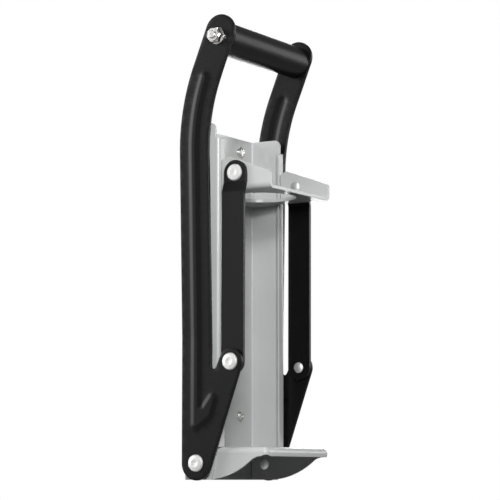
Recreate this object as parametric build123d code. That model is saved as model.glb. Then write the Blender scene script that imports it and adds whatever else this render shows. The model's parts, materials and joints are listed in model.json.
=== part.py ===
from build123d import *
import math
import os

"""Wall-mounted lever can crusher, in millimetres, handle up and crushing head raised.

Frame of the part: X to the right seen from the front, -Y towards the user, +Z up. The wall is
the plane Y = 0. The origin lies on the wall, at the centre of the four wall screws. Pieces are
drawn with Z counted from the base pivots and are lifted into the part's frame as they are saved.
Side views are drawn as (y, z), and pieces in pairs are drawn on the right and mirrored.
"""

# ---- back plate: a folded channel with inward lips that guide the head
SHEET = 1.5                   # sheet of the back plate
PLATE_HALF_WIDTH = 46.5       # to the outside of a side wall
PLATE_TOP = 245.9             # above the base pivots
PLATE_BOTTOM = -11.8
RAIL_DEPTH = 29.5             # wall to the front of the guide lips
RAIL_BELOW_TOP = 10.9         # the rails end this far below the plate's top
RAIL_WIDTH = 8.0              # lip and wall together, seen from the front
FLANGE_DEPTH = 26.3           # side wall above the rails
FLANGE_CORNER = 4.5
FOOT_DEPTH = 23.5             # side wall at its lowest edge
FOLD = 2.4                    # outside radius of the folds

# ---- platform under the crushing bay
TRAY_SHEET = 1.5
TRAY_TOP = 11.4
TRAY_DEPTH = 68.8
TRAY_LIP = 6.7                # height of the front lip
TRAY_CORNER = 4.6             # corners seen from above
TRAY_ROLL = 4.2               # rounding of the upper edge
LIP_ARCH = 1.1                # rise of the lip's lower edge at the corners
LIP_ARCH_RADIUS = 6.0
SKIRT_BACK = 17.0             # wall to where the skirt's lower edge starts to rise
LIP_FLAT = 10.2               # front edge to where the skirt's arc would meet the lip
SKIRT_BLEND = 13.0            # rounding between that arc and the lip

# ---- crushing head
HEAD_SHEET = 2.5
HEAD_BELOW_TOP = 50.4         # raised head, plate's top down to its underside
HEAD_DEPTH = 70.6
HEAD_BACK = 2.0               # wall to the head's rear edge
HEAD_GAP = 0.45               # running gap to the rails
HEAD_FOLD = 4.4
RIM_HOLE_RADIUS = 26.5
RIM_HOLE_OUT = 36.5
EAR_RISE = 25.3               # highest point of an ear above the head's underside
EAR_PEAK_RUN = 4.55           # the same point, in front of the ear's rear edge
EAR_CHAMFER = 2.6
EAR_FRONT_RISE = 12.5         # an ear's front corner above the head's underside
EAR_CORNER = 3.6
GUIDE_HEIGHT = 12.0           # upturned tabs that run behind the rails

# ---- pivots, out from the wall and above the base pivots
PIVOT_OUT = 13.4
EAR_RADIUS = 77.3             # base pivot to the link's pivot in the arm
EAR_ANGLE = 21.7              # forward of vertical
HEAD_PIVOT_OUT = 42.5
HEAD_PIVOT_RISE = 12.5        # above the head's underside

# ---- arms
ARM_SHEET = 2.5
ARM_HALF_WIDTH = 12.4
ARM_STRAIGHT = 224.0          # height where the forward bend starts
ARM_BEND_RADIUS = 150.0
ARM_BEND = 22.0
ARM_TAIL = 32.5               # straight length after the bend
ARM_EAR_HALF_WIDTH = 9.5
ARM_NOTCH = 2.2
ARM_SPREAD = 5.8              # how much further out an arm stands at the grip
SPREAD_START = 90.0
SPREAD_MARGIN = 22.5          # below the grip's axis an arm stands upright again
BOLT_DROP = 4.0               # grip bolt below the centre of the rounded end
BEAD_WIDTH = 9.2
BEAD_HEIGHT = 0.9
BEAD_BOTTOM = 27.5
BEAD_PAST_BEND = 53.5         # how far it runs past the start of the bend
BEAD_STEP = 1.5               # the bead rises in two steps, this far apart
BOOT_TOE = (13.5, 45.5)       # the bead's foot, out from the arm's middle and up
BOOT_SOLE = (10.0, 34.5)

# ---- links
LINK_SHEET = 2.5
LINK_HALF_WIDTH = 9.2
LINK_JOG = 2.7                # a link's top steps inwards to lie on the head's ear
JOG_FAR = 14.0                # the step, below the upper pivot
JOG_NEAR = 6.5

# ---- rivets, washers and running gaps
RIVET_RADIUS = 3.0
RIVET_HEAD_RADIUS = 6.15
RIVET_HEAD_HEIGHT = 2.0
RIVET_END_RADIUS = 4.0
RIVET_END_HEIGHT = 1.6
HOLE_GAP = 0.06
SIDE_GAP = 0.1                # between faces that turn on each other
OPEN_PIVOT_GAP = 0.2          # between link and head, where the linkage is opened
BASE_WASHER = 2.0
BASE_WASHER_RADIUS = 10.0

# ---- handle
GRIP_RADIUS = 12.0
GRIP_WASHER = 1.0             # thin washer between the grip and an arm
GRIP_WASHER_RADIUS = 11.0
TUBE_RADIUS = 6.5
BOLT_RADIUS = 3.0
HEX_ACROSS_FLATS = 10.0
BOLT_HEAD_HEIGHT = 4.0
BOLT_END = 1.2                # thread showing past the nut
NUT_HEIGHT = 6.0
NUT_COLLAR = 1.8
NUT_COLLAR_RADIUS = 4.7
NUT_RING_RADIUS = 4.0
WASHER_SHEET = 1.6
WASHER_RADIUS = 6.0

# ---- wall screws
SCREW_SPACING_X = 55.0
SCREW_SPACING_Z = 200.0
SCREW_LOW = 36.0              # lower pair above the base pivots
SCREW_RADIUS = 2.4            # threaded length, in the wall
SCREW_NECK_RADIUS = 2.7       # plain length, in the plate
SCREW_NECK = 0.5              # plain length behind the plate
SCREW_HOLE_RADIUS = SCREW_NECK_RADIUS + 0.15
SCREW_HEAD_RADIUS = 4.1
SCREW_HEAD_HEIGHT = 2.4
SCREW_IN_WALL = 12.0
SCREW_POINT = 3.0
SCREW_SLOT = 1.1
SCREW_SLOT_DEPTH = 1.3

# ---- places worked out from the sizes above
ORIGIN_UP = SCREW_LOW + SCREW_SPACING_Z / 2
RAIL_TOP = PLATE_TOP - RAIL_BELOW_TOP
HEAD_BOTTOM = PLATE_TOP - HEAD_BELOW_TOP
HEAD_PIVOT_UP = HEAD_BOTTOM + HEAD_PIVOT_RISE
EAR_PEAK = HEAD_BOTTOM + EAR_RISE
EAR_FRONT = HEAD_BOTTOM + EAR_FRONT_RISE
WALL_OUTSIDE = PLATE_HALF_WIDTH
WALL_INSIDE = WALL_OUTSIDE - SHEET
ARM_INSIDE = WALL_OUTSIDE + BASE_WASHER + 2 * SIDE_GAP
ARM_OUTSIDE = ARM_INSIDE + ARM_SHEET
LINK_OUTSIDE = ARM_INSIDE - SIDE_GAP
LINK_INSIDE = LINK_OUTSIDE - LINK_SHEET
LINK_TOP_OUTSIDE = LINK_OUTSIDE - LINK_JOG
LINK_TOP_INSIDE = LINK_INSIDE - LINK_JOG
HEAD_HALF_WIDTH = LINK_TOP_INSIDE - OPEN_PIVOT_GAP
SKIRT_FRONT = TRAY_DEPTH - LIP_FLAT
GRIP_INSIDE = ARM_INSIDE + ARM_SPREAD
GRIP_OUTSIDE = GRIP_INSIDE + ARM_SHEET
BASE_PIVOT = (-PIVOT_OUT, 0.0)
EAR_PIVOT = (-PIVOT_OUT - EAR_RADIUS * math.sin(math.radians(EAR_ANGLE)),
             EAR_RADIUS * math.cos(math.radians(EAR_ANGLE)))
HEAD_PIVOT = (-HEAD_PIVOT_OUT, HEAD_PIVOT_UP)
BEND_CENTRE = (-PIVOT_OUT - ARM_BEND_RADIUS, ARM_STRAIGHT)
SIN_BEND = math.sin(math.radians(ARM_BEND))
COS_BEND = math.cos(math.radians(ARM_BEND))
SIDE_REACH = PLATE_TOP        # half width of the blocks that side views are cut from


def beyond_bend(radius, along):
    """Point at a radius from the bend's centre, a length further along the arm's tilted end."""
    return (BEND_CENTRE[0] + radius * COS_BEND - along * SIN_BEND,
            BEND_CENTRE[1] + radius * SIN_BEND + along * COS_BEND)


ARM_END = beyond_bend(ARM_BEND_RADIUS, ARM_TAIL)
GRIP_AXIS = beyond_bend(ARM_BEND_RADIUS, ARM_TAIL - BOLT_DROP)
SPREAD_END = GRIP_AXIS[1] - SPREAD_MARGIN
BEAD_TOP = ARM_STRAIGHT + BEAD_PAST_BEND


def side_block(outline, x_from=-SIDE_REACH, x_to=SIDE_REACH):
    """Solid with the side view given as a face in (y, z), from one X to another."""
    return Plane.YZ.offset(x_from) * extrude(outline, x_to - x_from)


def polygon(points):
    """Face inside a closed run of straight lines."""
    return make_face(Polyline(*points, close=True))


def hull(circles):
    """Face that a band stretched round circles, given as (centre, radius), encloses."""
    edges = [edge for centre, radius in circles for edge in (Pos(*centre) * Circle(radius)).edges()]
    return make_hull(ShapeList(edges))


def rounded(face, corners, radius):
    """The face with the corners that lie nearest to the given points rounded."""
    picked = [face.vertices().sort_by_distance(Vector(*corner))[0] for corner in corners]
    return fillet(picked, radius)


def turned(points, pivot):
    """Solid turned about a pivot, an axis along X, from (x, radius) points."""
    body = revolve(polygon(points), Axis.X)
    return Pos(0, *pivot) * body


def disc(x_from, x_to, radius, pivot, bore=0.0):
    """Round plate or tube about a pivot."""
    return turned([(x_from, bore), (x_to, bore), (x_to, radius), (x_from, radius)], pivot)


def mirrored(solid):
    """The same piece on the left."""
    return mirror(solid, Plane.YZ)


def hole_through(pivot, radius=RIVET_RADIUS + HOLE_GAP):
    """Cutter for a hole along X at a pivot, through everything on that line."""
    return disc(-SIDE_REACH, SIDE_REACH, radius, pivot)


# ------------------------------------------------------------------ frame that stays on the wall
def channel_profile():
    """Back plate seen from above: web, two side walls and two lips turned inwards."""
    outside = WALL_OUTSIDE
    inside = WALL_INSIDE
    lip = outside - RAIL_WIDTH
    right = [(0, 0), (outside, 0), (outside, -RAIL_DEPTH), (lip, -RAIL_DEPTH),
             (lip, -RAIL_DEPTH + SHEET), (inside, -RAIL_DEPTH + SHEET), (inside, -SHEET), (0, -SHEET)]
    half = polygon(right)
    half = rounded(half, [(outside, 0), (outside, -RAIL_DEPTH)], FOLD)
    half = rounded(half, [(inside, -SHEET), (inside, -RAIL_DEPTH + SHEET)], FOLD - SHEET)
    return half + mirror(half, Plane.YZ)


def channel_side():
    """Back plate seen from the side: full depth at the rails, less above, slanted at the foot."""
    points = [(0, PLATE_BOTTOM), (0, PLATE_TOP), (-FLANGE_DEPTH, PLATE_TOP), (-FLANGE_DEPTH, RAIL_TOP),
              (-RAIL_DEPTH, RAIL_TOP), (-RAIL_DEPTH, TRAY_TOP), (-RAIL_DEPTH + SHEET, TRAY_TOP),
              (-FOOT_DEPTH, PLATE_BOTTOM)]
    side = polygon(points)
    side = rounded(side, [(-FLANGE_DEPTH, PLATE_TOP)], FLANGE_CORNER)
    return rounded(side, [(-RAIL_DEPTH, RAIL_TOP)], SHEET)


def screw_places():
    """Centres of the wall screws as (x, z)."""
    return [(side * SCREW_SPACING_X / 2, SCREW_LOW + row * SCREW_SPACING_Z)
            for side in (-1, 1) for row in (0, 1)]


def back_plate():
    """Folded channel with the holes for the wall screws and the base rivets."""
    height = PLATE_TOP - PLATE_BOTTOM
    plate = Pos(0, 0, PLATE_BOTTOM) * extrude(channel_profile(), height)
    plate &= side_block(channel_side())
    # below the tray's top the lips are cut away, so that the skirts can lie on the side walls
    relief_top = TRAY_TOP + SIDE_GAP
    relief = Pos(0, -RAIL_DEPTH, (relief_top + PLATE_BOTTOM) / 2) * Box(
        2 * WALL_INSIDE, 2 * (RAIL_DEPTH - FOOT_DEPTH + SHEET), relief_top - PLATE_BOTTOM)
    plate -= relief
    for x, z in screw_places():
        plate -= Pos(x, 0, z) * Rot(90, 0, 0) * Cylinder(SCREW_HOLE_RADIUS, 4 * SHEET)
    return plate - hole_through(BASE_PIVOT)


def tray_side():
    """Tray seen from the side: the skirt's lower edge rises in one arc to the front lip."""
    lip_bottom = TRAY_TOP - TRAY_LIP
    run = SKIRT_FRONT - SKIRT_BACK
    rise = lip_bottom - PLATE_BOTTOM
    radius = (run ** 2 + rise ** 2) / (2 * rise)
    half_turn = math.asin(run / radius) / 2
    start = (-SKIRT_BACK, PLATE_BOTTOM)
    middle = (-SKIRT_BACK - radius * math.sin(half_turn),
              PLATE_BOTTOM + radius * (1 - math.cos(half_turn)))
    finish = (-SKIRT_FRONT, lip_bottom)
    front = -TRAY_DEPTH
    edges = [Line((0, PLATE_BOTTOM), start), ThreePointArc(start, middle, finish),
             Line(finish, (front, lip_bottom)), Line((front, lip_bottom), (front, TRAY_TOP)),
             Line((front, TRAY_TOP), (0, TRAY_TOP)), Line((0, TRAY_TOP), (0, PLATE_BOTTOM))]
    return rounded(make_face(edges), [finish], SKIRT_BLEND)


def tray_block(inset):
    """Solid block of the tray's outside, drawn in by an inset on its sides, front and top.

    It starts clear of the round fold between the web and the side walls.
    """
    half = WALL_INSIDE - inset
    front = -TRAY_DEPTH + inset
    plan = polygon([(-half, -FOLD), (half, -FOLD), (half, front), (-half, front)])
    plan = rounded(plan, [(half, front), (-half, front)], TRAY_CORNER - inset)
    block = Pos(0, 0, PLATE_BOTTOM) * extrude(plan, TRAY_TOP - inset - PLATE_BOTTOM)
    rim = block.edges().group_by(Axis.Z)[-1].sort_by(Axis.Y)[:-1]
    return fillet(rim, TRAY_ROLL - inset)


def lip_arch(side):
    """Cutter for the shallow arch in the lip's lower edge at one corner, its axis across the corner."""
    down = TRAY_TOP - TRAY_LIP + LIP_ARCH - LIP_ARCH_RADIUS
    place = Pos(side * WALL_INSIDE, -TRAY_DEPTH, down)
    return place * Rot(0, 0, side * 45) * Rot(90, 0, 0) * Cylinder(LIP_ARCH_RADIUS, 4 * TRAY_CORNER)


def can_platform():
    """Pressed tray: a flat top, a rolled lip in front and a skirt on each side."""
    tray = tray_block(0) - tray_block(TRAY_SHEET)
    tray &= side_block(tray_side())
    tray -= lip_arch(1) + lip_arch(-1)
    return tray - hole_through(BASE_PIVOT)


def rivet_head(seat):
    """Points of a low head on a seat: a dished face, a bevel and an upright rim."""
    top = seat + RIVET_HEAD_HEIGHT
    edge = RIVET_HEAD_HEIGHT / 3
    return [(top - edge / 2, 0), (top, RIVET_RADIUS), (top - edge / 2, RIVET_HEAD_RADIUS - edge),
            (top - 2 * edge, RIVET_HEAD_RADIUS), (seat, RIVET_HEAD_RADIUS), (seat, RIVET_RADIUS)]


def rivet_end(inner, steps=6):
    """Points of a peened dome on an inner face: x = face - height cos a, radius = full radius sin a."""
    angles = [math.pi / 2 * (steps - k) / steps for k in range(steps + 1)]
    return [(inner, RIVET_RADIUS)] + [(inner - RIVET_END_HEIGHT * math.cos(a), RIVET_END_RADIUS * math.sin(a))
                                      for a in angles]


def rivet(seat, inner, pivot):
    """Rivet on the right: a low dished head outside the seat, a shank and a peened inner end."""
    return turned(rivet_head(seat) + rivet_end(inner), pivot)


def base_rivet():
    """Rivet through arm, washer, side wall and skirt."""
    return rivet(ARM_OUTSIDE + SIDE_GAP, WALL_INSIDE - TRAY_SHEET, BASE_PIVOT)


def base_washer():
    """Spacer between the side wall and the arm."""
    return disc(WALL_OUTSIDE, WALL_OUTSIDE + BASE_WASHER + SIDE_GAP, BASE_WASHER_RADIUS, BASE_PIVOT,
                RIVET_RADIUS + HOLE_GAP)


def wall_screw(x, z):
    """Pan-head screw: a plain neck through the web, a threaded length and a point in the wall."""
    head = SHEET + SCREW_HEAD_HEIGHT
    bevel = SCREW_HEAD_HEIGHT / 2
    point_start = SCREW_POINT - SCREW_IN_WALL
    profile = [(0, head), (SCREW_HEAD_RADIUS - bevel, head), (SCREW_HEAD_RADIUS, head - bevel),
               (SCREW_HEAD_RADIUS, SHEET), (SCREW_NECK_RADIUS, SHEET), (SCREW_NECK_RADIUS, -SCREW_NECK),
               (SCREW_RADIUS, -SCREW_NECK), (SCREW_RADIUS, point_start), (0, -SCREW_IN_WALL)]
    body = revolve(polygon([(r, -y) for r, y in profile]), Axis.Y)
    length = (SCREW_HEAD_RADIUS - bevel) * 2
    depth = SCREW_SLOT_DEPTH * 2
    cross = Box(length, depth, SCREW_SLOT) + Box(SCREW_SLOT, depth, length)
    return Pos(x, 0, z) * (body - Pos(0, -head, 0) * cross)


def wall_screws():
    """The four screws as separate solids."""
    return Part() + [wall_screw(x, z) for x, z in screw_places()]


# ------------------------------------------------------------------ arms and handle
def arm_outline():
    """Arm from the side: a bar with a rounded foot, a forward bend and a rounded end, and an ear."""
    foot, end, half = BASE_PIVOT, ARM_END, ARM_HALF_WIDTH
    rear, front = foot[0] + half, foot[0] - half
    outer, inner = ARM_BEND_RADIUS + half, ARM_BEND_RADIUS - half
    half_bend = math.radians(ARM_BEND / 2)

    def on_bend(radius):
        return (BEND_CENTRE[0] + radius * math.cos(half_bend), BEND_CENTRE[1] + radius * math.sin(half_bend))

    tip = (end[0] - half * SIN_BEND, end[1] + half * COS_BEND)
    edges = [Line((rear, 0), (rear, ARM_STRAIGHT)),
             ThreePointArc((rear, ARM_STRAIGHT), on_bend(outer), beyond_bend(outer, 0)),
             Line(beyond_bend(outer, 0), beyond_bend(outer, ARM_TAIL)),
             ThreePointArc(beyond_bend(outer, ARM_TAIL), tip, beyond_bend(inner, ARM_TAIL)),
             Line(beyond_bend(inner, ARM_TAIL), beyond_bend(inner, 0)),
             ThreePointArc(beyond_bend(inner, 0), on_bend(inner), (front, ARM_STRAIGHT)),
             Line((front, ARM_STRAIGHT), (front, 0)),
             ThreePointArc((front, 0), (foot[0], -half), (rear, 0))]
    ear = hull([(foot, half), (EAR_PIVOT, ARM_EAR_HALF_WIDTH)])
    return rounded(make_face(edges) + ear, [(front, ear_notch())], ARM_NOTCH)


def ear_notch():
    """Height where the ear's rear edge leaves the front edge of the bar.

    The edge is the common tangent of the foot's circle and the ear's circle, on the rear side.
    """
    lean = math.radians(EAR_ANGLE) + math.asin((ARM_HALF_WIDTH - ARM_EAR_HALF_WIDTH) / EAR_RADIUS)
    return (ARM_HALF_WIDTH + ARM_HALF_WIDTH * math.cos(lean)) / math.sin(lean)


def arm_layer(x_from, x_to):
    """Slab of the arm's thickness that spreads outwards between two heights, seen from the front."""
    low, high = -SIDE_REACH, 2 * SIDE_REACH
    points = [(x_from, low), (x_to, low), (x_to, SPREAD_START), (x_to + ARM_SPREAD, SPREAD_END),
              (x_to + ARM_SPREAD, high), (x_from + ARM_SPREAD, high), (x_from + ARM_SPREAD, SPREAD_END),
              (x_from, SPREAD_START)]
    return Pos(0, SIDE_REACH, 0) * (Plane.XZ * extrude(polygon(points), 2 * SIDE_REACH))


def bead_outline(width):
    """Pressed bead: a band up the middle of the arm, with a foot that points at the ear."""
    half = width / 2
    x = BASE_PIVOT[0]
    inner, outer = ARM_BEND_RADIUS - half, ARM_BEND_RADIUS + half
    turn = math.asin((BEAD_TOP - ARM_STRAIGHT) / ARM_BEND_RADIUS)

    def at(radius, angle):
        return (BEND_CENTRE[0] + radius * math.cos(angle), BEND_CENTRE[1] + radius * math.sin(angle))

    top = at(ARM_BEND_RADIUS, turn)
    crown = (top[0] - half * math.sin(turn), top[1] + half * math.cos(turn))
    edges = [Line((x + half, BEAD_BOTTOM), (x + half, ARM_STRAIGHT)),
             ThreePointArc((x + half, ARM_STRAIGHT), at(outer, turn / 2), at(outer, turn)),
             ThreePointArc(at(outer, turn), crown, at(inner, turn)),
             ThreePointArc(at(inner, turn), at(inner, turn / 2), (x - half, ARM_STRAIGHT)),
             Line((x - half, ARM_STRAIGHT), (x - half, BEAD_BOTTOM)),
             ThreePointArc((x - half, BEAD_BOTTOM), (x, BEAD_BOTTOM - half), (x + half, BEAD_BOTTOM))]
    boot = hull([((x, BEAD_BOTTOM), half)] + [((x - out, up), half) for out, up in (BOOT_TOE, BOOT_SOLE)])
    return make_face(edges) + boot


def arm():
    """Right arm: plate, bead raised in two steps and hollow behind, and three holes."""
    plate = arm_layer(ARM_INSIDE, ARM_OUTSIDE) & side_block(arm_outline(), 0, SIDE_REACH)
    for width, height in ((BEAD_WIDTH, BEAD_HEIGHT / 2), (BEAD_WIDTH - 2 * BEAD_STEP, BEAD_HEIGHT)):
        outline = side_block(bead_outline(width), 0, SIDE_REACH)
        plate += arm_layer(ARM_OUTSIDE, ARM_OUTSIDE + height) & outline
        plate -= arm_layer(ARM_INSIDE, ARM_INSIDE + height) & outline
    for pivot in (BASE_PIVOT, EAR_PIVOT):
        plate -= hole_through(pivot)
    return plate - hole_through(GRIP_AXIS, BOLT_RADIUS + HOLE_GAP)


def ear_rivet():
    """Rivet through the arm's ear and the link, fixed in the arm."""
    return rivet(ARM_OUTSIDE, LINK_INSIDE - SIDE_GAP, EAR_PIVOT)


def hexagon_block(x_from, x_to, across_flats):
    """Hexagonal bar along X about the grip's axis."""
    outline = RegularPolygon(across_flats / 2, 6, major_radius=False)
    return side_block(Pos(*GRIP_AXIS) * outline, x_from, x_to)


def bevelled(block, x_from, x_to, bevel):
    """Hexagonal bar with its outer corners turned off at the end x_to."""
    radius = HEX_ACROSS_FLATS / 2 / math.cos(math.radians(30))
    step = bevel if x_to > x_from else -bevel
    cutter = turned([(x_from, 0), (x_to, 0), (x_to, radius - bevel), (x_to - step, radius), (x_from, radius)],
                    GRIP_AXIS)
    return block & cutter


def handle_bolt():
    """Long bolt through both arms, its head on the right and its thread on the left."""
    seat = GRIP_OUTSIDE + WASHER_SHEET
    head_top = seat + BOLT_HEAD_HEIGHT
    head = bevelled(hexagon_block(seat, head_top, HEX_ACROSS_FLATS), seat, head_top, BOLT_HEAD_HEIGHT / 4)
    end = -(GRIP_OUTSIDE + WASHER_SHEET + NUT_HEIGHT + BOLT_END)
    bevel = BOLT_END / 2
    shank = turned([(seat, 0), (seat, BOLT_RADIUS), (end + bevel, BOLT_RADIUS),
                    (end, BOLT_RADIUS - bevel), (end, 0)], GRIP_AXIS)
    return head + shank


def handle_nut():
    """Lock nut on the left: a hexagon with a round collar that holds a nylon ring."""
    seat = -(GRIP_OUTSIDE + WASHER_SHEET)
    collar = seat - NUT_HEIGHT + NUT_COLLAR
    top = seat - NUT_HEIGHT
    body = bevelled(hexagon_block(collar, seat, HEX_ACROSS_FLATS), seat, collar, NUT_COLLAR / 3)
    body += disc(top, collar, NUT_COLLAR_RADIUS, GRIP_AXIS)
    body -= disc(top, seat, BOLT_RADIUS + HOLE_GAP, GRIP_AXIS)
    return body - disc(top + NUT_COLLAR / 4, collar, NUT_RING_RADIUS, GRIP_AXIS)


def nut_ring():
    """Nylon ring inside the nut's collar."""
    collar = -(GRIP_OUTSIDE + WASHER_SHEET + NUT_HEIGHT - NUT_COLLAR)
    return disc(collar - NUT_COLLAR * 3 / 4, collar, NUT_RING_RADIUS, GRIP_AXIS, BOLT_RADIUS + HOLE_GAP)


def handle_washers():
    """One washer under the bolt's head and one under the nut."""
    right = disc(GRIP_OUTSIDE, GRIP_OUTSIDE + WASHER_SHEET, WASHER_RADIUS, GRIP_AXIS, BOLT_RADIUS + HOLE_GAP)
    return Part() + [right, mirrored(right)]


def grip_end_washers():
    """Thin washer round the tube at each end of the grip."""
    bore = TUBE_RADIUS + HOLE_GAP
    right = disc(GRIP_INSIDE - GRIP_WASHER, GRIP_INSIDE, GRIP_WASHER_RADIUS, GRIP_AXIS, bore)
    return Part() + [right, mirrored(right)]


def grip_tube():
    """Steel spacer tube that the bolt clamps between the arms."""
    return disc(-GRIP_INSIDE, GRIP_INSIDE, TUBE_RADIUS, GRIP_AXIS, BOLT_RADIUS + HOLE_GAP)


def handle_grip():
    """Soft sleeve on the tube, with softened ends."""
    end = GRIP_INSIDE - GRIP_WASHER
    soft = GRIP_RADIUS / 12
    return turned([(-end, TUBE_RADIUS), (end, TUBE_RADIUS), (end, GRIP_RADIUS - soft),
                   (end - soft, GRIP_RADIUS), (-end + soft, GRIP_RADIUS),
                   (-end, GRIP_RADIUS - soft)], GRIP_AXIS)


# ------------------------------------------------------------------ links
def link_layer():
    """Slab of the link's thickness, seen from the front: it steps inwards below the upper pivot."""
    low, high = -SIDE_REACH, 2 * SIDE_REACH
    far, near = HEAD_PIVOT_UP - JOG_FAR, HEAD_PIVOT_UP - JOG_NEAR
    points = [(LINK_INSIDE, low), (LINK_OUTSIDE, low), (LINK_OUTSIDE, far), (LINK_TOP_OUTSIDE, near),
              (LINK_TOP_OUTSIDE, high), (LINK_TOP_INSIDE, high), (LINK_TOP_INSIDE, near), (LINK_INSIDE, far)]
    return Pos(0, SIDE_REACH, 0) * (Plane.XZ * extrude(polygon(points), 2 * SIDE_REACH))


def link():
    """Flat bar with rounded ends between the arm's ear and the head, its top stepped inwards."""
    outline = hull([(EAR_PIVOT, LINK_HALF_WIDTH), (HEAD_PIVOT, LINK_HALF_WIDTH)])
    bar = side_block(outline, 0, SIDE_REACH) & link_layer()
    return bar - hole_through(EAR_PIVOT) - hole_through(HEAD_PIVOT)


def link_rivet():
    """Outer part of the upper rivet: its head and the shank inside the link."""
    shank_end = [(LINK_TOP_INSIDE, RIVET_RADIUS), (LINK_TOP_INSIDE, 0)]
    return turned(rivet_head(LINK_TOP_OUTSIDE) + shank_end, HEAD_PIVOT)


# ------------------------------------------------------------------ head
def head_plan():
    """Head plate from above: a strip between the rails and a wide part that runs behind them."""
    neck = WALL_OUTSIDE - RAIL_WIDTH - HEAD_GAP
    back_half = WALL_INSIDE - HEAD_GAP
    rail_back = -RAIL_DEPTH + SHEET + HEAD_GAP
    right = [(0, -HEAD_DEPTH), (neck, -HEAD_DEPTH), (neck, rail_back), (back_half, rail_back),
             (back_half, -HEAD_BACK), (0, -HEAD_BACK)]
    half = rounded(polygon(right), [(back_half, -HEAD_BACK)], FOLD)
    return half + mirror(half, Plane.YZ)


def ear_side():
    """Ear of the head from the side: highest near the pivot, sloping down to the front."""
    rear = -RAIL_DEPTH - HEAD_GAP
    peak = (rear - EAR_PEAK_RUN, EAR_PEAK)
    points = [(rear, HEAD_BOTTOM), (rear, EAR_PEAK - EAR_CHAMFER), peak,
              (-HEAD_DEPTH, EAR_FRONT), (-HEAD_DEPTH, HEAD_BOTTOM)]
    side = rounded(polygon(points), [(-HEAD_DEPTH, EAR_FRONT)], EAR_CORNER)
    return rounded(side, [peak], EAR_CORNER)


def head_trough():
    """Front of the head: plate and both ears folded from one sheet, cut to the ears' side view."""
    top = HEAD_BOTTOM + 2 * EAR_RISE
    outer = polygon([(-HEAD_HALF_WIDTH, HEAD_BOTTOM), (HEAD_HALF_WIDTH, HEAD_BOTTOM),
                     (HEAD_HALF_WIDTH, top), (-HEAD_HALF_WIDTH, top)])
    outer = rounded(outer, [(-HEAD_HALF_WIDTH, HEAD_BOTTOM), (HEAD_HALF_WIDTH, HEAD_BOTTOM)], HEAD_FOLD)
    half, floor = HEAD_HALF_WIDTH - HEAD_SHEET, HEAD_BOTTOM + HEAD_SHEET
    inner = polygon([(-half, floor), (half, floor), (half, top), (-half, top)])
    inner = rounded(inner, [(-half, floor), (half, floor)], HEAD_FOLD - HEAD_SHEET)
    trough = Plane.XZ * extrude(outer - inner, HEAD_DEPTH)
    return trough & side_block(ear_side())


def crusher_head():
    """Trough with a plate that runs back between the rails, a round hole and two guide tabs."""
    plate = Pos(0, 0, HEAD_BOTTOM) * extrude(head_plan(), HEAD_SHEET)
    outside = WALL_INSIDE - HEAD_GAP
    tab_front = RAIL_DEPTH - SHEET - HEAD_GAP
    tab = Pos(outside - HEAD_SHEET / 2, -(tab_front + HEAD_BACK) / 2, HEAD_BOTTOM + GUIDE_HEIGHT / 2) * Box(
        HEAD_SHEET, tab_front - HEAD_BACK - 2 * FOLD, GUIDE_HEIGHT)
    head = head_trough() + plate + tab + mirrored(tab)
    head -= Pos(0, -RIM_HOLE_OUT, HEAD_BOTTOM) * Cylinder(RIM_HOLE_RADIUS, 4 * HEAD_SHEET)
    return head - hole_through(HEAD_PIVOT)


def head_rivet():
    """Inner part of the upper rivet: its peened end and the shank through the head's ear."""
    shank = [(HEAD_HALF_WIDTH, 0), (HEAD_HALF_WIDTH, RIVET_RADIUS)]
    return turned(shank + rivet_end(HEAD_HALF_WIDTH - HEAD_SHEET), HEAD_PIVOT)


# ------------------------------------------------------------------ all pieces
PAIRS = {"arm": arm, "link": link, "base_rivet": base_rivet, "base_washer": base_washer,
         "ear_rivet": ear_rivet, "link_rivet": link_rivet, "head_rivet": head_rivet}
SINGLES = {"back_plate": back_plate, "can_platform": can_platform, "wall_screws": wall_screws,
           "handle_bolt": handle_bolt, "handle_nut": handle_nut, "nut_ring": nut_ring,
           "handle_washers": handle_washers, "grip_end_washers": grip_end_washers, "grip_tube": grip_tube,
           "handle_grip": handle_grip, "crusher_head": crusher_head}


def pieces():
    """Every piece by name, in the part's frame."""
    lift = Pos(0, 0, -ORIGIN_UP)
    made = {name: lift * maker() for name, maker in SINGLES.items()}
    for name, maker in PAIRS.items():
        right = lift * maker()
        made["right_" + name] = right
        made["left_" + name] = mirrored(right)
    return made


os.makedirs("parts", exist_ok=True)
for node, solid in pieces().items():
    export_step(solid, f"parts/{node}.step")

for name, place in (("base pivot", BASE_PIVOT), ("ear pivot", EAR_PIVOT), ("head pivot", HEAD_PIVOT),
                    ("grip axis", GRIP_AXIS), ("arm end", ARM_END)):
    print(f"{name}: y {place[0]:.3f}, z {place[1] - ORIGIN_UP:.3f}")
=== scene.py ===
"""Looks of the lever can crusher: finishes, pressed arms, studio light and camera."""

import json
import math

import bpy
import numpy as np
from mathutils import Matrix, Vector, geometry


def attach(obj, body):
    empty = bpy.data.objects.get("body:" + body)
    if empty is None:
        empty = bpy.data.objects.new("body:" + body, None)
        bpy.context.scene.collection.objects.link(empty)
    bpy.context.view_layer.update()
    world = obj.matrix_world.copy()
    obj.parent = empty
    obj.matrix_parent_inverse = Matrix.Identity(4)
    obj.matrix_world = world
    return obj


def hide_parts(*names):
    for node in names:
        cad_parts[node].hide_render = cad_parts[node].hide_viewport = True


MM = 0.001

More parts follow.
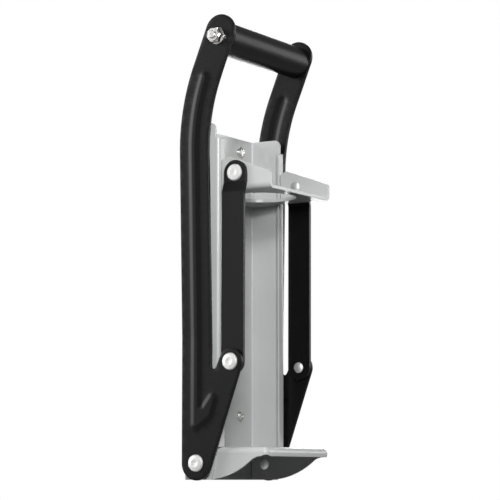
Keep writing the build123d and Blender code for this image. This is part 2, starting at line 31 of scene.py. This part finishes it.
# ---- places of the part, in millimetres, as (y, z) in the part's frame
ORIGIN_UP = 136.0             # height of the origin above the foot's pivot
FOOT = (-13.4, -ORIGIN_UP)    # the base rivet, about which the arm turns
EAR_RADIUS = 77.3             # from the foot's pivot to the ear's rivet
EAR_LEAN = math.radians(21.7)     # of the line from the foot to the ear, forward
EAR = (FOOT[0] - EAR_RADIUS * math.sin(EAR_LEAN), FOOT[1] + EAR_RADIUS * math.cos(EAR_LEAN))
HALF = 12.38                  # half width of an arm
EAR_HALF = 9.5                # radius of the ear's round end
BEND_RADIUS = 150.0           # of the arm's middle line
BEND_START = 224.0 - ORIGIN_UP    # height where the bend begins
BEND = math.radians(22.0)     # angle of the bend
TAIL = 32.5                   # straight stretch beyond the bend
BOLT_DROP = 4.0               # from the centre of the rounded end back to the bolt
NOTCH = 2.2                   # radius of the notch between arm and ear
BEND_CENTRE = (FOOT[0] - BEND_RADIUS, BEND_START)
ARM_END = (BEND_CENTRE[0] + BEND_RADIUS * math.cos(BEND) - TAIL * math.sin(BEND),
           BEND_CENTRE[1] + BEND_RADIUS * math.sin(BEND) + TAIL * math.cos(BEND))
GRIP = (ARM_END[0] + BOLT_DROP * math.sin(BEND), ARM_END[1] - BOLT_DROP * math.cos(BEND))

# ---- the arm's sheet, in millimetres
ARM_INSIDE = 48.7             # from the middle plane to the inner face
ARM_SHEET = 2.5               # thickness
SPREAD = 5.8                  # how far the top stands out from the foot
SPREAD_FROM = 90.0 - ORIGIN_UP    # height where it begins to
SPREAD_TO = GRIP[1] - 22.5    # height where it has reached that
EDGE = 0.45                   # rounding of the sheet's edges
BEAD_HEIGHT = 1.0
BEAD_FLAT = 1.5               # half width of the bead's flat crown
BEAD_SIDE = 4.7               # half width at the bead's foot
BEAD_LOW = 27.5 - ORIGIN_UP   # lower end of the bead's middle line
BEAD_HIGH = 277.5 - ORIGIN_UP     # and its upper end
# corners of the boot at the bead's lower end, from the foot's pivot
BOOT = ((0.0, 27.5), (-10.0, 34.5), (-13.5, 45.5), (-7.0, 37.0), (0.0, 37.0))
HOLE = 3.06                   # radius of the holes for the two rivets and the bolt

# ---- the mesh of an arm, in millimetres
ROUND_STEP = 0.7              # between points on the round ends
BEND_STEP = 4.0               # on the bend
NOTCH_STEP = 0.3              # in the notch
RING_STEP = 0.45              # round a hole
STRAIGHT_STEP = 4.0           # on the straight stretches
RING_GAP = 9.0                # degrees from a hole's last point on to its first
FINE_PITCH = 0.75             # of the lattice on the bead
FINE_PAST = 0.6               # how far that lattice runs past the bead's foot
COARSE_PITCH = 3.2            # of the lattice elsewhere
COARSE_PAST = 2.0             # how far from the bead's foot that one begins
CLEAR = 0.7                   # least distance from a lattice point to an edge
MERGE = 1e-5                  # points closer than this are one
INSIDE_ONLY = 1               # the triangulation's code for leaving out what lies outside
RIM_ANGLES = (30, 60, 90)     # degrees round the rim, each with a ring of points

# ---- the bolt's thread, in metres
THREAD_PITCH = 1.0 * MM
THREAD_DEPTH = 0.3 * MM
THREAD_END = (-0.0640, -0.0630)   # it fades out between these places along the bolt

# ---- the camera that was fitted to the photograph, in metres
CAMERA_AT = (-1.2899, -0.8144, -0.1486)
CAMERA_TO = (0.0066, -0.0233, 0.0220)
LENS = 148.0                  # in millimetres
SENSOR = 36.0                 # in millimetres

# ---- lamps: name, place, the point that each is aimed at, size in metres, and watts
LAMPS = (("key", (-0.60, -0.45, 0.2), (0, -0.03, 0.0), (0.2, 0.2), 5.5),
         ("rear", (-0.8, 1.6, 0.5), (0, -0.03, 0.0), (1.3, 1.2), 22),
         ("front", (1.6, -1.0, 0.5), (0, -0.03, 0.1), (0.3, 0.8), 5),
         ("side", (1.6, 0.7, 0.3), (0, -0.03, 0.0), (0.6, 1.0), 14),
         ("top", (0.0, -0.1, 1.1), (0, -0.04, 0.0), (0.5, 0.5), 5))

# ---- the world; a rise is the upward share of a direction, -1 to 1
SKY_LIGHT = 0.12              # strength of its light from overhead
GROUND_LIGHT = 0.01           # and from underfoot
LIGHT_RISE = (-0.1, 0.7)      # the rises between which one runs into the other
DARK_SIDE = (-0.96, -0.28, 0.0)   # where reflections meet the dark side of the studio
DARK_NEAR = (0.70, 0.92)      # cosines to that direction at which the dark begins and is full
DARK_SHARE = 0.9              # how much darker it is
DIM_RISE = (0.15, 0.5)        # the rises at which the dim overhead begins and is full
DIM_SHARE = 0.8               # how much dimmer it is

# ---- the floor
FLOOR = -420.0                # height in millimetres, clear of the opened handle
FLOOR_SIZE = 16.0             # in metres
FLOOR_FADE = (0.5, 1.5)       # metres from the part's origin between which the lit share ends
FLOOR_LIT = 0.5               # that share up close
FLOOR_DIMMED = 0.7            # how much dimmer the floor is in reflections

WHITE = (1.0, 1.0, 1.0, 1.0)
PALE = (0.8, 0.8, 0.8, 1.0)
DULL = (0.1, 0.1, 0.1, 1.0)


# ------------------------------------------------------------------ node helpers
def linear(code):
    """Linear RGBA of a colour written as #rrggbb, by the standard curve of screen colours."""
    values = np.array([int(code[i:i + 2], 16) for i in (1, 3, 5)]) / 255
    out = np.where(values <= 0.04045, values / 12.92, ((values + 0.055) / 1.055) ** 2.4)
    return (*out.tolist(), 1.0)


class Value:
    """A number in a node tree; each operator adds one Math node."""

    def __init__(self, nodes, socket):
        self.nodes = nodes
        self.socket = socket

    def step(self, operation, *others):
        node = self.nodes.node("ShaderNodeMath", {"operation": operation},
                               dict(enumerate((self, *others))))
        return Value(self.nodes, node.outputs[0])

    def __add__(self, other):
        return self.step("ADD", other)

    def __mul__(self, other):
        return self.step("MULTIPLY", other)

    def __rsub__(self, other):
        return self.step("MULTIPLY", -1.0).step("ADD", other)

    def sine(self):
        return self.step("SINE")

    def between(self, low, high):
        """0 below low, 1 above high, and a smooth step between."""
        node = self.nodes.node("ShaderNodeMapRange", {"interpolation_type": "SMOOTHSTEP"},
                               {"Value": self, "From Min": low, "From Max": high})
        return Value(self.nodes, node.outputs[0])


class Nodes:
    """A node tree and the one way in which nodes are added to it."""

    def __init__(self, tree):
        self.tree = tree

    def node(self, kind, settings, sockets):
        """Adds a node, with its settings first and then its sockets: numbers, colours or links."""
        node = self.tree.nodes.new(kind)
        for key, value in settings.items():
            setattr(node, key, value)
        for key, value in sockets.items():
            self.feed(node.inputs[key], value)
        return node

    def feed(self, socket, value):
        """Links or sets one socket."""
        if isinstance(value, Value):
            value = value.socket
        if isinstance(value, bpy.types.NodeSocket):
            self.tree.links.new(value, socket)
        else:
            socket.default_value = value

    def parts(self, vector):
        """X, Y and Z of a vector as values."""
        split = self.node("ShaderNodeSeparateXYZ", {}, {0: vector})
        return tuple(Value(self, out) for out in split.outputs)


class Finish(Nodes):
    """One material: a Principled surface and the few kinds of node that its patterns need."""

    def __init__(self, name, colour, **fixed):
        self.material = bpy.data.materials.new(name)
        self.material.use_nodes = True
        super().__init__(self.material.node_tree)
        self.surface = self.tree.nodes["Principled BSDF"]
        self.surface.inputs["Base Color"].default_value = linear(colour)
        for socket, value in fixed.items():
            self.surface.inputs[socket.replace("_", " ")].default_value = value
        self.place = self.node("ShaderNodeTexCoord", {}, {}).outputs["Object"]

    def noise(self, size, detail):
        """Noise whose lumps are about the given size in metres."""
        node = self.node("ShaderNodeTexNoise", {},
                         {"Vector": self.place, "Scale": 1 / size, "Detail": detail})
        return Value(self, node.outputs[0])

    def mix(self, factor, first, second):
        """Colour between two colours."""
        node = self.node("ShaderNodeMix", {"data_type": "RGBA"},
                         {"Factor": factor, 6: first, 7: second})
        return node.outputs[2]

    def relief(self, height, depth, strength, edge=0.0):
        """Feeds the normal from a height of 0 to 1 that stands for a depth in metres.

        Sharp edges look rounded to the radius edge, also in metres.
        """
        sockets = {"Height": height, "Distance": depth, "Strength": strength}
        if edge:
            rounded = self.node("ShaderNodeBevel", {"samples": 6}, {"Radius": edge})
            sockets["Normal"] = rounded.outputs[0]
        bump = self.node("ShaderNodeBump", {}, sockets)
        self.feed(self.surface.inputs["Normal"], bump.outputs[0])


# ------------------------------------------------------------------ finishes
def grey_paint():
    """Satin light grey paint: faint orange peel, and a slight drift in tone along the sheet.

    Its roughness stays above 0.26, because smoother paint showed faint dark specks on large faces.
    """
    paint = Finish("grey_paint", "#c0c2c1", Roughness=0.26, Metallic=0.0, Specular_IOR_Level=0.5)
    drift = paint.noise(size=0.06, detail=2.0)
    colour = paint.mix(drift.between(0.35, 0.65), linear("#babcbb"), linear("#c1c3c2"))
    paint.feed(paint.surface.inputs["Base Color"], colour)
    gloss = paint.noise(size=0.012, detail=3.0)
    paint.feed(paint.surface.inputs["Roughness"], gloss * 0.06 + 0.265)
    paint.relief(paint.noise(size=0.0022, detail=1.0), depth=0.00003, strength=0.5, edge=0.0005)
    return paint.material


def black_coat():
    """Black powder coat: a fine pebbled texture, with painted shade that makes its hollows a little
    darker and its crests a little greyer.
    """
    coat = Finish("black_coat", "#101010", Roughness=0.32, Metallic=0.0, Specular_IOR_Level=0.2)
    grain_and_shade = coat.noise(size=0.0009, detail=2.0)
    # painted shade: the colour follows the grain's height, darker in its hollows and greyer on its
    # crests
    colour = coat.mix(grain_and_shade.between(0.35, 0.7), linear("#0c0c0c"), linear("#131313"))
    coat.feed(coat.surface.inputs["Base Color"], colour)
    coat.feed(coat.surface.inputs["Roughness"], grain_and_shade * 0.12 + 0.28)
    coat.relief(grain_and_shade, depth=0.00004, strength=0.5, edge=0.0004)
    return coat.material


def plated_steel(name, colour, least, depth):
    """Bright plating: metal with a soft cloud in its gloss and faint handling marks.

    Its roughness runs from the least one given to 0.16 more, about a middle of 0.08 more.
    """
    plate = Finish(name, colour, Roughness=least + 0.08, Metallic=1.0)
    cloud = plate.noise(size=0.004, detail=3.0)
    plate.feed(plate.surface.inputs["Roughness"], cloud * 0.16 + least)
    plate.relief(plate.noise(size=0.0016, detail=2.0), depth, strength=0.4, edge=0.00025)
    return plate.material


def threaded_steel():
    """The long bolt: plated like the screws, with a thread drawn on its left end.

    The thread is a wave along the bolt, (sin(2 pi x / pitch) + 1) / 2.
    """
    plate = Finish("threaded_steel", "#cfd0ce", Roughness=0.28, Metallic=1.0)
    across = plate.parts(plate.place)[0]
    turns = (across * (2 * math.pi / THREAD_PITCH)).sine() * 0.5 + 0.5
    thread = turns * (1.0 - across.between(*THREAD_END))
    plate.relief(thread, THREAD_DEPTH, strength=1.0, edge=0.00025)
    return plate.material


def grip_foam():
    """Matt black sleeve: fine closed-cell texture and broad soft sheen."""
    foam = Finish("grip_foam", "#0d0d0d", Roughness=0.38, Metallic=0.0, Specular_IOR_Level=0.16)
    cells = foam.noise(size=0.0007, detail=2.0)
    foam.feed(foam.surface.inputs["Roughness"], cells * 0.16 + 0.30)
    foam.relief(cells, depth=0.00006, strength=0.6, edge=0.0006)
    return foam.material


def nylon():
    """White nylon ring."""
    ring = Finish("nylon", "#e4e2da", Roughness=0.45, Metallic=0.0)
    ring.relief(ring.noise(size=0.001, detail=1.0), depth=0.00002, strength=0.5)
    return ring.material


# ------------------------------------------------------------------ pressed arms
def turn(centre, radius, start, end, step=ROUND_STEP):
    """Points on an arc: centre + radius (cos a, sin a).

    The angle a runs evenly from start to end, in degrees. The outward direction at each point is
    (cos a, sin a), turned round where the arc runs backwards.
    """
    count = max(3, int(abs(math.radians(end - start)) * radius / step))
    angle = np.radians(np.linspace(start, end, count))
    ray = np.stack([np.cos(angle), np.sin(angle)], axis=1)
    return np.array(centre) + radius * ray, ray * (1 if end > start else -1)


def filled(points, outward):
    """Adds evenly spaced points on the straight stretches of a closed outline."""
    nxt = np.roll(points, -1, axis=0)
    gap = np.linalg.norm(nxt - points, axis=1)
    counts = np.maximum(1, np.ceil(gap / STRAIGHT_STEP).astype(int))
    index = np.repeat(np.arange(len(points)), counts)
    part = (np.arange(counts.sum()) - np.repeat(np.cumsum(counts) - counts, counts)) / counts[index]
    line = points[index] + (nxt - points)[index] * part[:, None]
    ray = outward[index] * (1 - part[:, None]) + np.roll(outward, -1, axis=0)[index] * part[:, None]
    return line, ray / np.linalg.norm(ray, axis=1, keepdims=True)


def arm_outline():
    """The arm's side view: six arcs joined by their common tangents, and the outward directions.

    In order: the rear of the bend, the rounded end, the front of the bend, the notch, the ear and
    the foot. The ear's edges are the tangents of the foot's circle and the ear's circle.
    """
    lean = math.degrees(EAR_LEAN + math.asin((HALF - EAR_HALF) / EAR_RADIUS))
    front = 2 * (90 + math.degrees(EAR_LEAN)) - lean
    notch_y = FOOT[0] - HALF - NOTCH
    reach = HALF + NOTCH + (HALF + NOTCH) * math.cos(math.radians(lean))
    notch = (notch_y, FOOT[1] + reach / math.sin(math.radians(lean)))
    bend = math.degrees(BEND)
    arcs = [turn(BEND_CENTRE, BEND_RADIUS + HALF, 0, bend, BEND_STEP),
            turn(ARM_END, HALF, bend, bend + 180),
            turn(BEND_CENTRE, BEND_RADIUS - HALF, bend, 0, BEND_STEP),
            turn(notch, NOTCH, 0, lean - 180, NOTCH_STEP),
            turn(EAR, EAR_HALF, lean, front),
            turn(FOOT, HALF, front, 360)]
    points = np.concatenate([arc[0] for arc in arcs])
    outward = np.concatenate([arc[1] for arc in arcs])
    return filled(points, outward)


def to_stretch(points, start, end):
    """Distance of each point to the straight stretch from start to end."""
    start, end = np.array(start), np.array(end)
    whole = end - start
    along = np.clip((points - start) @ whole / (whole @ whole), 0, 1)
    return np.linalg.norm(points - start - along[:, None] * whole, axis=1)


def to_bead(points):
    """Distance of each point to the bead's middle line and to the boot at its lower end.

    The middle line is a straight stretch up the arm and an arc about the bend's centre. The boot is
    a filled outline: inside it the distance is 0.
    """
    lines = [to_stretch(points, (FOOT[0], BEAD_LOW), (FOOT[0], BEND_START))]
    ray = points - np.array(BEND_CENTRE)
    top = math.asin((BEAD_HIGH - BEND_START) / BEND_RADIUS)
    angle = np.clip(np.arctan2(ray[:, 1], ray[:, 0]), 0, top)
    near = np.array(BEND_CENTRE) + BEND_RADIUS * np.stack([np.cos(angle), np.sin(angle)], axis=1)
    lines.append(np.linalg.norm(points - near, axis=1))
    boot = np.array(BOOT) + (FOOT[0], -ORIGIN_UP)
    lines += [to_stretch(points, start, end)
              for start, end in zip(boot, np.roll(boot, -1, axis=0))]
    return np.where(inside_outline(points, boot), 0.0, np.min(lines, axis=0))


def bead_height(points):
    """An even slope from the bead's foot up to its crown."""
    return BEAD_HEIGHT * np.clip((BEAD_SIDE - to_bead(points)) / (BEAD_SIDE - BEAD_FLAT), 0, 1)


def spread(points):
    """How far the arm stands out at each height: none below, all above, evenly between."""
    return SPREAD * np.clip((points[:, 1] - SPREAD_FROM) / (SPREAD_TO - SPREAD_FROM), 0, 1)


def lattice(low, high, pitch):
    """Points of a lattice in a rectangle: rows pitch apart, every other one shifted by half."""
    ys = np.arange(low[0], high[0], pitch)
    zs = np.arange(low[1], high[1], pitch)
    grid_y, grid_z = np.meshgrid(ys, zs)
    grid_y[1::2] += pitch / 2
    return np.stack([grid_y.ravel(), grid_z.ravel()], axis=1)


def inside_outline(points, outline):
    """True where a level ray from the point crosses the outline an odd number of times."""
    start, end = outline, np.roll(outline, -1, axis=0)
    height = points[:, 1, None]
    rows = (start[None, :, 1] > height) != (end[None, :, 1] > height)
    level = end[:, 1] == start[:, 1]      # such an edge crosses no ray, and 1.0 avoids dividing by 0
    slope = (end - start)[:, 0] / np.where(level, 1.0, end[:, 1] - start[:, 1])
    cross = start[None, :, 0] + (height - start[None, :, 1]) * slope[None, :]
    return (rows & (points[:, 0, None] < cross)).sum(axis=1) % 2 == 1


def arm_face():
    """Points and triangles of one face of the arm.

    A fine lattice lies on the bead, a coarse one elsewhere, and both stop short of the edge and of
    the three holes, whose rings are fixed edges of the triangulation.
    """
    outline, outward = arm_outline()
    rim = outline - EDGE * outward
    low, high = outline.min(axis=0), outline.max(axis=0)
    centres = [np.array(place) for place in (FOOT, EAR, GRIP)]
    fine = lattice(low, high, FINE_PITCH)
    fine = fine[to_bead(fine) < BEAD_SIDE + FINE_PAST]
    coarse = lattice(low, high, COARSE_PITCH)
    coarse = coarse[to_bead(coarse) > BEAD_SIDE + COARSE_PAST]
    rings = [turn(centre, HOLE, 0, 360 - RING_GAP, RING_STEP)[0] for centre in centres]
    loose = np.concatenate([fine, coarse])
    loose = loose[inside_outline(loose, rim)]
    to_rim = np.linalg.norm(loose[:, None] - rim[None], axis=2).min(axis=1)
    to_holes = [np.linalg.norm(loose - centre, axis=1) - HOLE for centre in centres]
    loose = loose[np.min([to_rim, *to_holes], axis=0) > CLEAR]
    loops = [rim, *rings]
    starts = np.cumsum([0] + [len(loop) for loop in loops])
    edges = [(int(first + i), int(first + (i + 1) % len(loop)))
             for first, loop in zip(starts, loops) for i in range(len(loop))]
    points = np.concatenate([*loops, loose])
    flat, _, triangles, *_ = geometry.delaunay_2d_cdt(
        [Vector(p) for p in points.tolist()], edges, [], INSIDE_ONLY, MERGE)
    flat = np.array([(p.x, p.y) for p in flat])
    triangles = np.array([tuple(t) for t in triangles])
    middle = flat[triangles].mean(axis=1)
    holes = np.min([np.linalg.norm(middle - centre, axis=1) for centre in centres], axis=0)
    corner = flat[triangles[:, 0]]
    side = np.cross(flat[triangles[:, 1]] - corner, flat[triangles[:, 2]] - corner)
    triangles = np.where(side[:, None] > 0, triangles, triangles[:, ::-1])
    return flat, triangles[holes > HOLE], outline, outward, [len(loop) for loop in loops]


def strip(first, second, count):
    """Quads between two closed rings of the same number of points, starting at two indices."""
    here = np.arange(count)
    nxt = (here + 1) % count
    return np.stack([first + here, first + nxt, second + nxt, second + here], axis=1)


def add_piece(name, points, faces, material):
    """Puts points in millimetres and faces into a new smooth mesh object at the origin."""
    mesh = bpy.data.meshes.new(name)
    mesh.from_pydata((points * MM).tolist(), [], faces)
    mesh.materials.append(material)
    mesh.shade_smooth()
    mesh.validate()
    piece = bpy.data.objects.new(name, mesh)
    bpy.context.scene.collection.objects.link(piece)
    return piece


def add_arm(name, sign, face, material):
    """One arm: two faces that follow the bead, rounded rims and three round holes.

    Both faces stand at the sheet's inside or outside plus the spread and the bead's height. The rim
    is a quarter circle from each face to the edge: inset e (1 - sin a), depth e (1 - cos a).
    """
    flat, triangles, outline, outward, sizes = face
    count = len(outline)
    layers, faces = [], []
    total = 0
    starts = {}
    for key, depth, flip in (("out", ARM_SHEET, False), ("in", 0.0, True)):
        x = ARM_INSIDE + depth + spread(flat) + bead_height(flat)
        layers.append(np.column_stack([x, flat]))
        faces.append(triangles[:, ::-1] + total if flip else triangles + total)
        starts[key] = total
        total += len(flat)
    angles = np.radians(RIM_ANGLES)
    rings = [("out", a) for a in angles] + [("in", a) for a in angles[::-1]]
    before = starts["out"]
    for key, angle in rings:
        inset, drop = EDGE * (1 - math.sin(angle)), EDGE * (1 - math.cos(angle))
        line = outline - inset * outward
        depth = ARM_SHEET - drop if key == "out" else drop
        layers.append(np.column_stack([ARM_INSIDE + depth + spread(line), line]))
        faces.append(strip(total, before, count))
        before = total
        total += count
    faces.append(strip(starts["in"], before, count))
    first = sizes[0]
    for size in sizes[1:]:
        faces.append(strip(starts["out"] + first, starts["in"] + first, size))
        first += size
    points = np.concatenate(layers)
    points[:, 0] *= sign
    listed = [tuple(f) if sign > 0 else tuple(f[::-1]) for block in faces for f in block.tolist()]
    piece = add_piece(name, points, listed, material)
    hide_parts(name.replace("_sheet", ""))
    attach(piece, "handle")


# ------------------------------------------------------------------ light, world and camera
def add_light(name, at, to, size, power):
    """White rectangular soft box at a place, aimed at another, in metres and watts."""
    lamp = bpy.data.lights.new(name, "AREA")
    lamp.shape = "RECTANGLE"
    lamp.size, lamp.size_y = size
    lamp.energy = power
    box = bpy.data.objects.new(name, lamp)
    box.location = at
    box.rotation_euler = (Vector(to) - Vector(at)).to_track_quat("-Z", "Y").to_euler()
    bpy.context.scene.collection.objects.link(box)


def seen(nodes):
    """1 for rays that show the surroundings, also by reflection or refraction; 0 for light."""
    path = nodes.node("ShaderNodeLightPath", {}, {})
    rays = [Value(nodes, path.outputs[name])
            for name in ("Is Camera Ray", "Is Glossy Ray", "Is Transmission Ray")]
    return rays[0].step("MAXIMUM", rays[1]).step("MAXIMUM", rays[2])


def set_world():
    """White where it is seen, but in reflections dim overhead and on the studio's dark side.

    Its light falls from one strength overhead to another underfoot.
    """
    world = bpy.data.worlds.new("studio")
    world.use_nodes = True
    bpy.context.scene.world = world
    nodes = Nodes(world.node_tree)
    direction = nodes.node("ShaderNodeTexCoord", {}, {}).outputs["Generated"]
    up = nodes.parts(direction)[2]
    facing = nodes.node("ShaderNodeVectorMath", {"operation": "DOT_PRODUCT"},
                        {0: direction, 1: DARK_SIDE})
    dark = Value(nodes, facing.outputs["Value"]).between(*DARK_NEAR) * DARK_SHARE
    dim = dark.step("MAXIMUM", up.between(*DIM_RISE) * DIM_SHARE)
    glossy = Value(nodes, nodes.node("ShaderNodeLightPath", {}, {}).outputs["Is Glossy Ray"])
    white = nodes.node("ShaderNodeBackground", {},
                       {"Color": WHITE, "Strength": 1.0 - dim * glossy})
    strength = up.between(*LIGHT_RISE) * (SKY_LIGHT - GROUND_LIGHT) + GROUND_LIGHT
    light = nodes.node("ShaderNodeBackground", {}, {"Color": WHITE, "Strength": strength})
    choice = nodes.node("ShaderNodeMixShader", {},
                        {0: seen(nodes), 1: light.outputs[0], 2: white.outputs[0]})
    nodes.feed(nodes.tree.nodes["World Output"].inputs["Surface"], choice.outputs[0])


def add_floor():
    """Plain floor well below the part: pale where it is seen, dull in the light it throws back.

    What is seen is mostly even white, with a share that the lamps light and the part shades. The
    share fades out with the distance from the part, so the floor runs into the white of the world.
    """
    material = bpy.data.materials.new("floor")
    material.use_nodes = True
    nodes = Nodes(material.node_tree)
    nodes.tree.nodes.remove(nodes.tree.nodes["Principled BSDF"])
    place = nodes.node("ShaderNodeTexCoord", {}, {}).outputs["Object"]
    length = nodes.node("ShaderNodeVectorMath", {"operation": "LENGTH"}, {0: place})
    away = Value(nodes, length.outputs["Value"])
    lit = (1.0 - away.between(*FLOOR_FADE)) * FLOOR_LIT
    glossy = Value(nodes, nodes.node("ShaderNodeLightPath", {}, {}).outputs["Is Glossy Ray"])
    white = nodes.node("ShaderNodeEmission", {},
                       {"Color": WHITE, "Strength": 1.0 - glossy * FLOOR_DIMMED})
    shaded = nodes.node("ShaderNodeBsdfDiffuse", {}, {"Color": PALE})
    pale = nodes.node("ShaderNodeMixShader", {},
                      {0: lit, 1: white.outputs[0], 2: shaded.outputs[0]})
    dull = nodes.node("ShaderNodeBsdfDiffuse", {}, {"Color": DULL})
    choice = nodes.node("ShaderNodeMixShader", {},
                        {0: seen(nodes), 1: dull.outputs[0], 2: pale.outputs[0]})
    nodes.feed(nodes.tree.nodes["Material Output"].inputs["Surface"], choice.outputs[0])
    half = FLOOR_SIZE / MM / 2
    corners = np.array([(-half, -half, FLOOR), (half, -half, FLOOR),
                        (half, half, FLOOR), (-half, half, FLOOR)])
    add_piece("floor", corners, [(0, 1, 2, 3)], material)


def add_camera():
    """The photograph's viewpoint."""
    data = bpy.data.cameras.new("camera")
    data.lens = LENS
    data.sensor_width = SENSOR
    camera = bpy.data.objects.new("camera", data)
    camera.location = CAMERA_AT
    aim = Vector(CAMERA_TO) - Vector(CAMERA_AT)
    camera.rotation_euler = aim.to_track_quat("-Z", "Y").to_euler()
    bpy.context.scene.collection.objects.link(camera)
    bpy.context.scene.camera = camera


# ------------------------------------------------------------------ the scene
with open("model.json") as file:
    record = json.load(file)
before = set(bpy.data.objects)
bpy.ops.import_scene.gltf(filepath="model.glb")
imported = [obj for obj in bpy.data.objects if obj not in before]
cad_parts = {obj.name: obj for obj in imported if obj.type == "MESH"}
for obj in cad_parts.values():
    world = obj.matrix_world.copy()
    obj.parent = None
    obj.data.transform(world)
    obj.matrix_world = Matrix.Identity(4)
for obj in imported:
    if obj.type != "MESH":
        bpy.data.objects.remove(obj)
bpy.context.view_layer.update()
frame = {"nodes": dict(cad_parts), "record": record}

finishes = {"grey_paint": grey_paint(), "black_coat": black_coat(),
            "plated_steel": plated_steel("plated_steel", "#d8d7d4", least=0.18, depth=0.00003),
            "grip_foam": grip_foam(), "nylon": nylon()}
rivet_steel = plated_steel("rivet_steel", "#dcdcdb", least=0.48, depth=0.00002)
slots = {part["node"]: part["material_slot"] for part in frame["record"]["subparts"]}
for node, piece in frame["nodes"].items():
    piece.data.materials.clear()
    piece.data.materials.append(rivet_steel if "rivet" in node else finishes[slots[node]])
frame["nodes"]["handle_bolt"].data.materials[0] = threaded_steel()

face = arm_face()
for name, sign in (("left_arm_sheet", -1), ("right_arm_sheet", 1)):
    add_arm(name, sign, face, finishes["black_coat"])

for lamp in LAMPS:
    add_light(*lamp)
set_world()
add_floor()
add_camera()
bpy.context.scene.view_settings.view_transform = "Standard"
